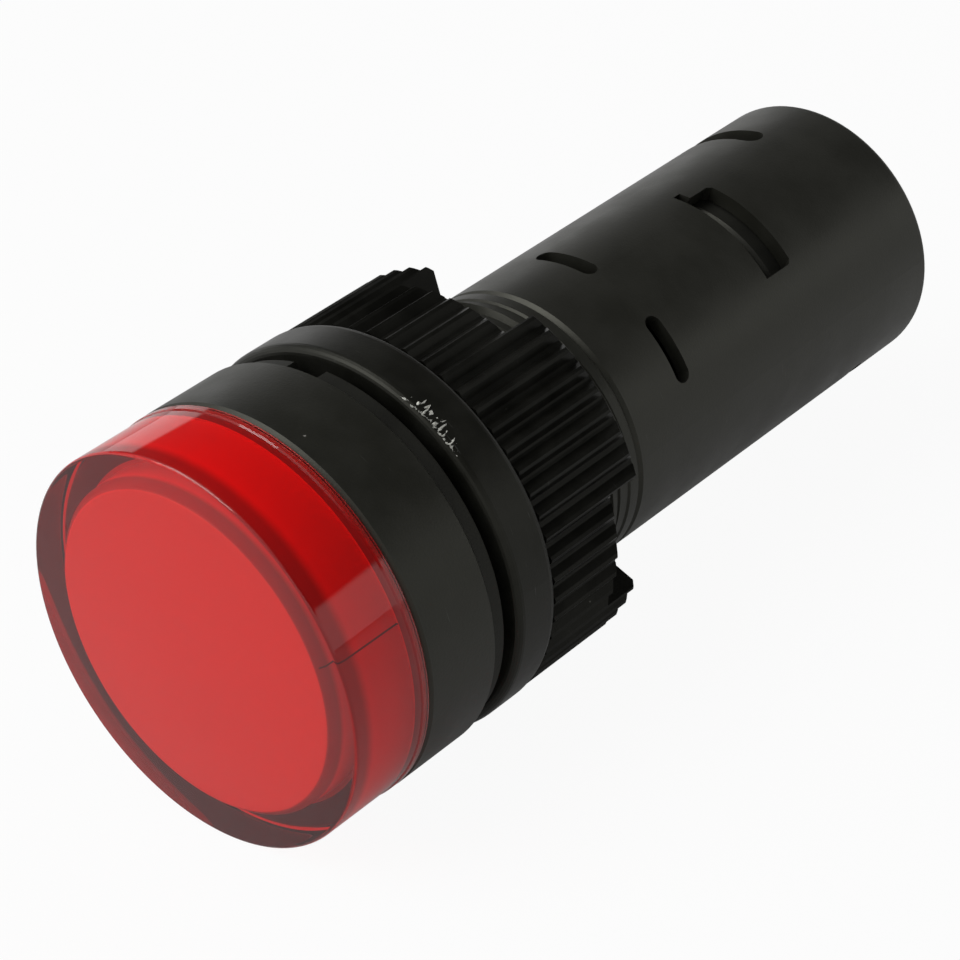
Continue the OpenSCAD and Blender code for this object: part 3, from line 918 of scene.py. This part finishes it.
@dataclass
class Studio:
    """Camera, floor, sky and lamps."""

    eye: Vector = field(default_factory=lambda: Vector((136.594, -121.166, 106.307)) * MM)
    ahead: Vector = field(default_factory=lambda: Vector((-0.6208, 0.6116, -0.4905)))
    up: Vector = field(default_factory=lambda: Vector((-0.2394, 0.4479, 0.8615)))
    lens_mm: float = 118.9
    floor_size: float = 4.0
    dim: float = 0.12
    cove: float = 0.95
    cove_top: float = 0.3
    floor_glow: float = 0.94
    floor_sheen: float = 0.2
    floor_grey: float = 0.6
    overhead: float = 0.9
    lamp_way: Vector = field(default_factory=lambda: Vector((-0.3, -0.53, 0.79)))
    lamp_reach: float = 0.55

    def camera(self) -> None:
        """Makes the camera."""
        data = bpy.data.cameras.new("camera")
        data.lens = self.lens_mm
        data.sensor_width = 36.0
        data.clip_start = 0.01
        camera = bpy.data.objects.new("camera", data)
        bpy.context.scene.collection.objects.link(camera)
        back = -self.ahead.normalized()
        right = self.up.cross(back).normalized()
        turned = Matrix((right, back.cross(right), back)).transposed()
        camera.matrix_world = Matrix.Translation(self.eye) @ turned.to_4x4()
        bpy.context.scene.camera = camera

    def floor(self, height: float) -> None:
        """Makes the pale floor.

        Args:
            height: Its height in the frame.
        """
        mesh = bpy.data.meshes.new("floor")
        half = self.floor_size / 2
        mesh.from_pydata([(-half, -half, height), (half, -half, height), (half, half, height), (-half, half, height)],
                         [], [(0, 1, 2, 3)])
        floor = bpy.data.objects.new("floor", mesh)
        bpy.context.scene.collection.objects.link(floor)
        material = bpy.data.materials.new("floor_white")
        material.use_nodes = True
        sheet = Sheet(material.node_tree)
        shader = material.node_tree.nodes["Principled BSDF"]
        shader.inputs["Base Color"].default_value = (*[self.floor_grey] * 3, 1.0)
        shader.inputs["Roughness"].default_value = 0.9
        shader.inputs["Specular IOR Level"].default_value = 0.1
        path = sheet.add("LightPath")
        seen = sheet.math("ADD", sheet.math("MULTIPLY", path.outputs["Is Camera Ray"], self.floor_glow),
                          sheet.math("MULTIPLY", path.outputs["Is Transmission Ray"], self.floor_glow))
        seen = sheet.math("ADD", seen, sheet.math("MULTIPLY", path.outputs["Is Glossy Ray"], self.floor_sheen))
        white = sheet.add("Emission")
        white.inputs["Strength"].default_value = 1.0
        mix = sheet.add("MixShader")
        sheet.feed(mix.inputs[0], sheet.math("MINIMUM", seen, self.floor_glow))
        sheet.feed(mix.inputs[1], shader.outputs[0])
        sheet.feed(mix.inputs[2], white.outputs[0])
        sheet.feed(material.node_tree.nodes["Material Output"].inputs[0], mix.outputs[0])
        mesh.materials.append(material)
        floor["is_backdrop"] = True

    def world(self) -> None:
        """Makes the room: a white cove up to a low height, dim walls, a soft glow overhead and in front."""
        world = bpy.data.worlds.new("studio")
        world.use_nodes = True
        sheet = Sheet(world.node_tree)
        background = world.node_tree.nodes["Background"]
        background.inputs["Color"].default_value = (1.0, 1.0, 1.0, 1.0)
        way = sheet.add("TexCoord").outputs["Generated"]
        height = sheet.add("SeparateXYZ")
        sheet.feed(height.inputs[0], way)
        cove = sheet.ramp(height.outputs[2], self.cove_top, self.cove_top + 0.05, self.cove - self.dim, 0.0)
        aim = sheet.add("VectorMath", operation="DOT_PRODUCT")
        sheet.feed(aim.inputs[0], way)
        aim.inputs[1].default_value = self.lamp_way.normalized()
        glow = sheet.ramp(aim.outputs["Value"], 0.45, 1.0, 0.0, self.overhead)
        sheet.feed(background.inputs["Strength"], sheet.math("ADD", sheet.math("ADD", cove, glow), self.dim))
        bpy.context.scene.world = world

    @staticmethod
    def lamp(name: str, place: Vector, target: Vector, size: float, power: float) -> None:
        """Makes a soft square lamp.

        Args:
            name: Its name.
            place: Where it stands.
            target: What it faces.
            size: Side of the square.
            power: Power in watts.
        """
        data = bpy.data.lights.new(name, "AREA")
        data.shape = "SQUARE"
        data.size = size
        data.energy = power
        lamp = bpy.data.objects.new(name, data)
        bpy.context.scene.collection.objects.link(lamp)
        lamp.matrix_world = Matrix.Translation(place) @ (target - place).to_track_quat("-Z", "Y").to_matrix().to_4x4()

    def build(self, lowest: float, middle: Vector) -> None:
        """Makes everything round the light.

        Args:
            lowest: Height of the light's lowest point.
            middle: Middle of the light.
        """
        self.camera()
        self.floor(lowest)
        self.world()
        self.lamp("key", middle + self.lamp_way.normalized() * self.lamp_reach, middle, 0.4, 1.8)
        view = bpy.context.scene.view_settings
        view.view_transform = "Standard"


def main() -> None:
    """Builds the looks in order and reports each piece."""
    logging.basicConfig(level=logging.INFO, format="%(name)s: %(message)s")
    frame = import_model()
    frame_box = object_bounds()
    low, high = frame_box
    Studio().build(low.z, (low + high) / 2)
    paint = Paintbox()
    for node, finish in NODE_FINISHES.items():
        paint.coat(frame["nodes"][node], finish)
        LOG.info("%s: %s", node, finish.name)
    LensAssembly(paint).build()
    LOG.info("lens and diffuser cups")
    ThreadedStem(paint, frame["nodes"]["housing"]).build()
    LOG.info("thread on the stem")
    Flash(paint).build()
    LOG.info("flash on the clamp ring")


if __name__ == "__main__":
    main()
